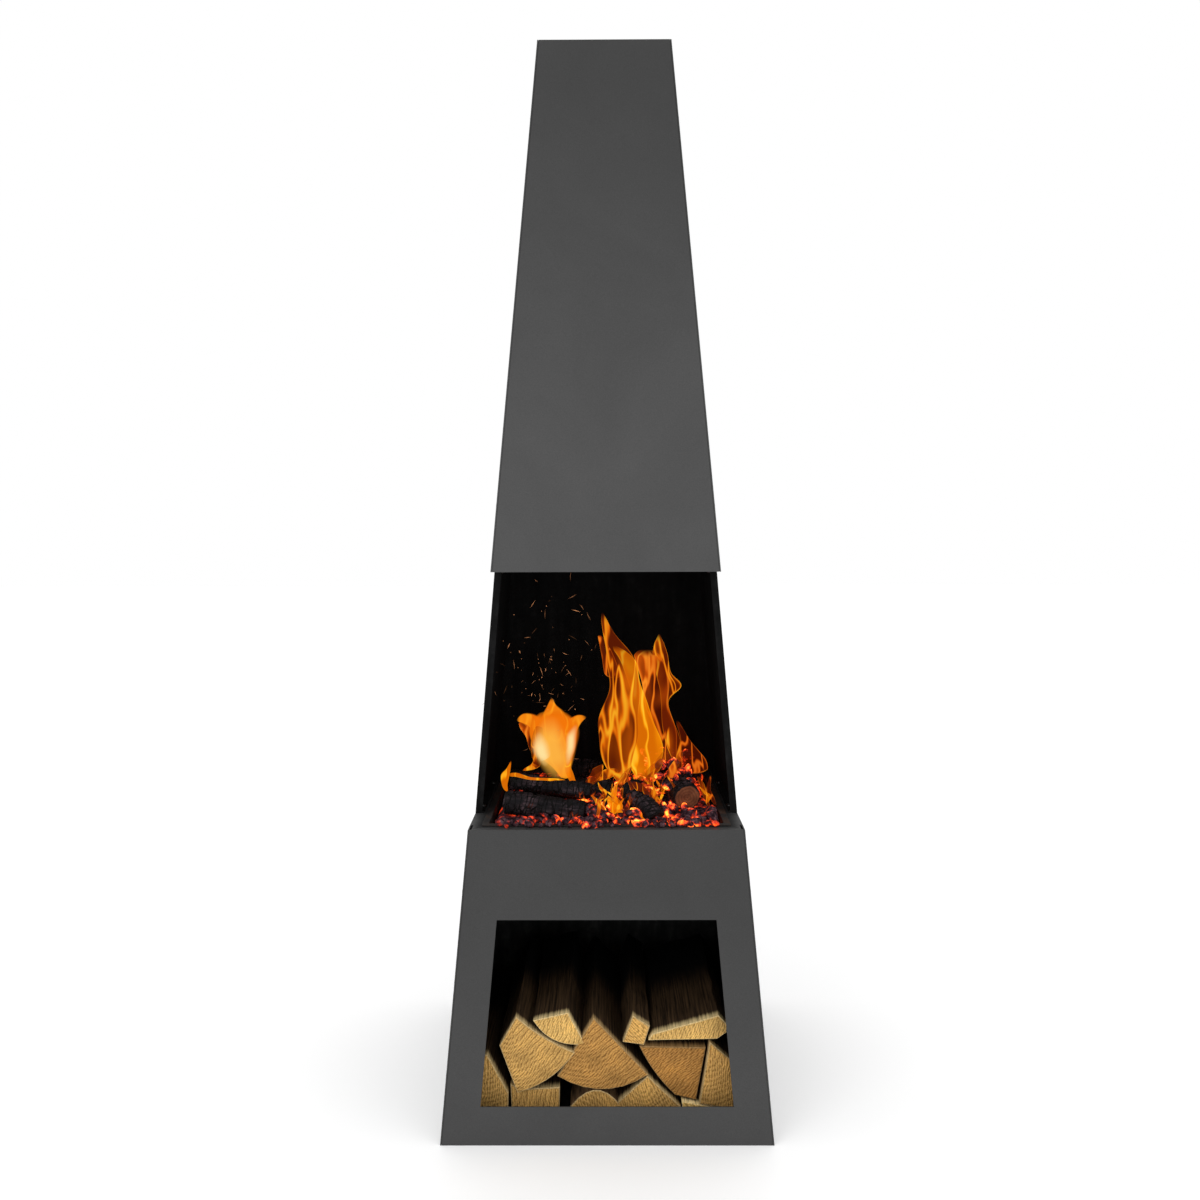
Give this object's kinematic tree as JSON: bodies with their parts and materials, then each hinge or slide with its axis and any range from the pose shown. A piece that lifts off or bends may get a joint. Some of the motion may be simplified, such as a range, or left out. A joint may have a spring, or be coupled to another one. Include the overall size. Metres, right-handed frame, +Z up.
{
  "type": "chiminea",
  "caption": "Tall square tapering garden chiminea in folded sheet steel: log store in the base, open fire chamber set back above it, and a hood that is also the chimney.",
  "frame": {"origin": "on the ground under the centre of the base", "axes": "+Z up, -Y the front with the log store and the fire opening, +X to the right seen from the front"},
  "size_m": [0.45, 0.45, 1.5],
  "materials": {
    "painted_steel": "matt dark grey heat-resistant paint",
    "sooty_painted_steel": "the same paint, blackened by soot",
    "fire_scaled_steel": "bare steel scaled dark by the fire",
    "fastener_steel": "black zinc"
  },
  "bodies": {
    "stove": {"base_back_panel": "painted_steel", "base_bolt_back_left_lower": "fastener_steel", "base_bolt_back_left_upper": "fastener_steel", "base_bolt_back_right_lower": "fastener_steel", "base_bolt_back_right_upper": "fastener_steel", "base_bolt_front_left_lower": "fastener_steel", "base_bolt_front_left_upper": "fastener_steel", "base_bolt_front_right_lower": "fastener_steel", "base_bolt_front_right_upper": "fastener_steel", "base_front_panel": "painted_steel", "base_left_panel": "painted_steel", "base_nut_back_left_lower": "fastener_steel", "base_nut_back_left_upper": "fastener_steel", "base_nut_back_right_lower": "fastener_steel", "base_nut_back_right_upper": "fastener_steel", "base_nut_front_left_lower": "fastener_steel", "base_nut_front_left_upper": "fastener_steel", "base_nut_front_right_lower": "fastener_steel", "base_nut_front_right_upper": "fastener_steel", "base_right_panel": "painted_steel", "chamber_shell": "sooty_painted_steel", "hearth_bolt_back_left": "fastener_steel", "hearth_bolt_back_right": "fastener_steel", "hearth_bolt_front_left": "fastener_steel", "hearth_bolt_front_right": "fastener_steel", "heat_shield_plate": "sooty_painted_steel", "hood_back_panel": "painted_steel", "hood_bolt_back_left_lower": "fastener_steel", "hood_bolt_back_left_upper": "fastener_steel", "hood_bolt_back_right_lower": "fastener_steel", "hood_bolt_back_right_upper": "fastener_steel", "hood_bolt_front_left_lower": "fastener_steel", "hood_bolt_front_left_upper": "fastener_steel", "hood_bolt_front_right_lower": "fastener_steel", "hood_bolt_front_right_upper": "fastener_steel", "hood_front_panel": "painted_steel", "hood_left_panel": "painted_steel", "hood_nut_back_left_lower": "fastener_steel", "hood_nut_back_left_upper": "fastener_steel", "hood_nut_back_right_lower": "fastener_steel", "hood_nut_back_right_upper": "fastener_steel", "hood_nut_front_left_lower": "fastener_steel", "hood_nut_front_left_upper": "fastener_steel", "hood_nut_front_right_lower": "fastener_steel", "hood_nut_front_right_upper": "fastener_steel", "hood_right_panel": "painted_steel", "log_floor_plate": "sooty_painted_steel", "throat_bolt_back_left": "fastener_steel", "throat_bolt_back_right": "fastener_steel", "throat_bolt_front_left": "fastener_steel", "throat_bolt_front_right": "fastener_steel"},
    "tray": {"fire_tray": "fire_scaled_steel"},
    "grate": {"fire_grate": "fire_scaled_steel"}
  },
  "joints": [
    {"name": "tray_lift", "type": "slide", "parent": "stove", "child": "tray", "axis": [0, 0, 1], "range_m": [0, 0.05]},
    {"name": "grate_lift", "type": "slide", "parent": "tray", "child": "grate", "axis": [0, 0, 1], "range_m": [0, 0.1]}
  ]
}
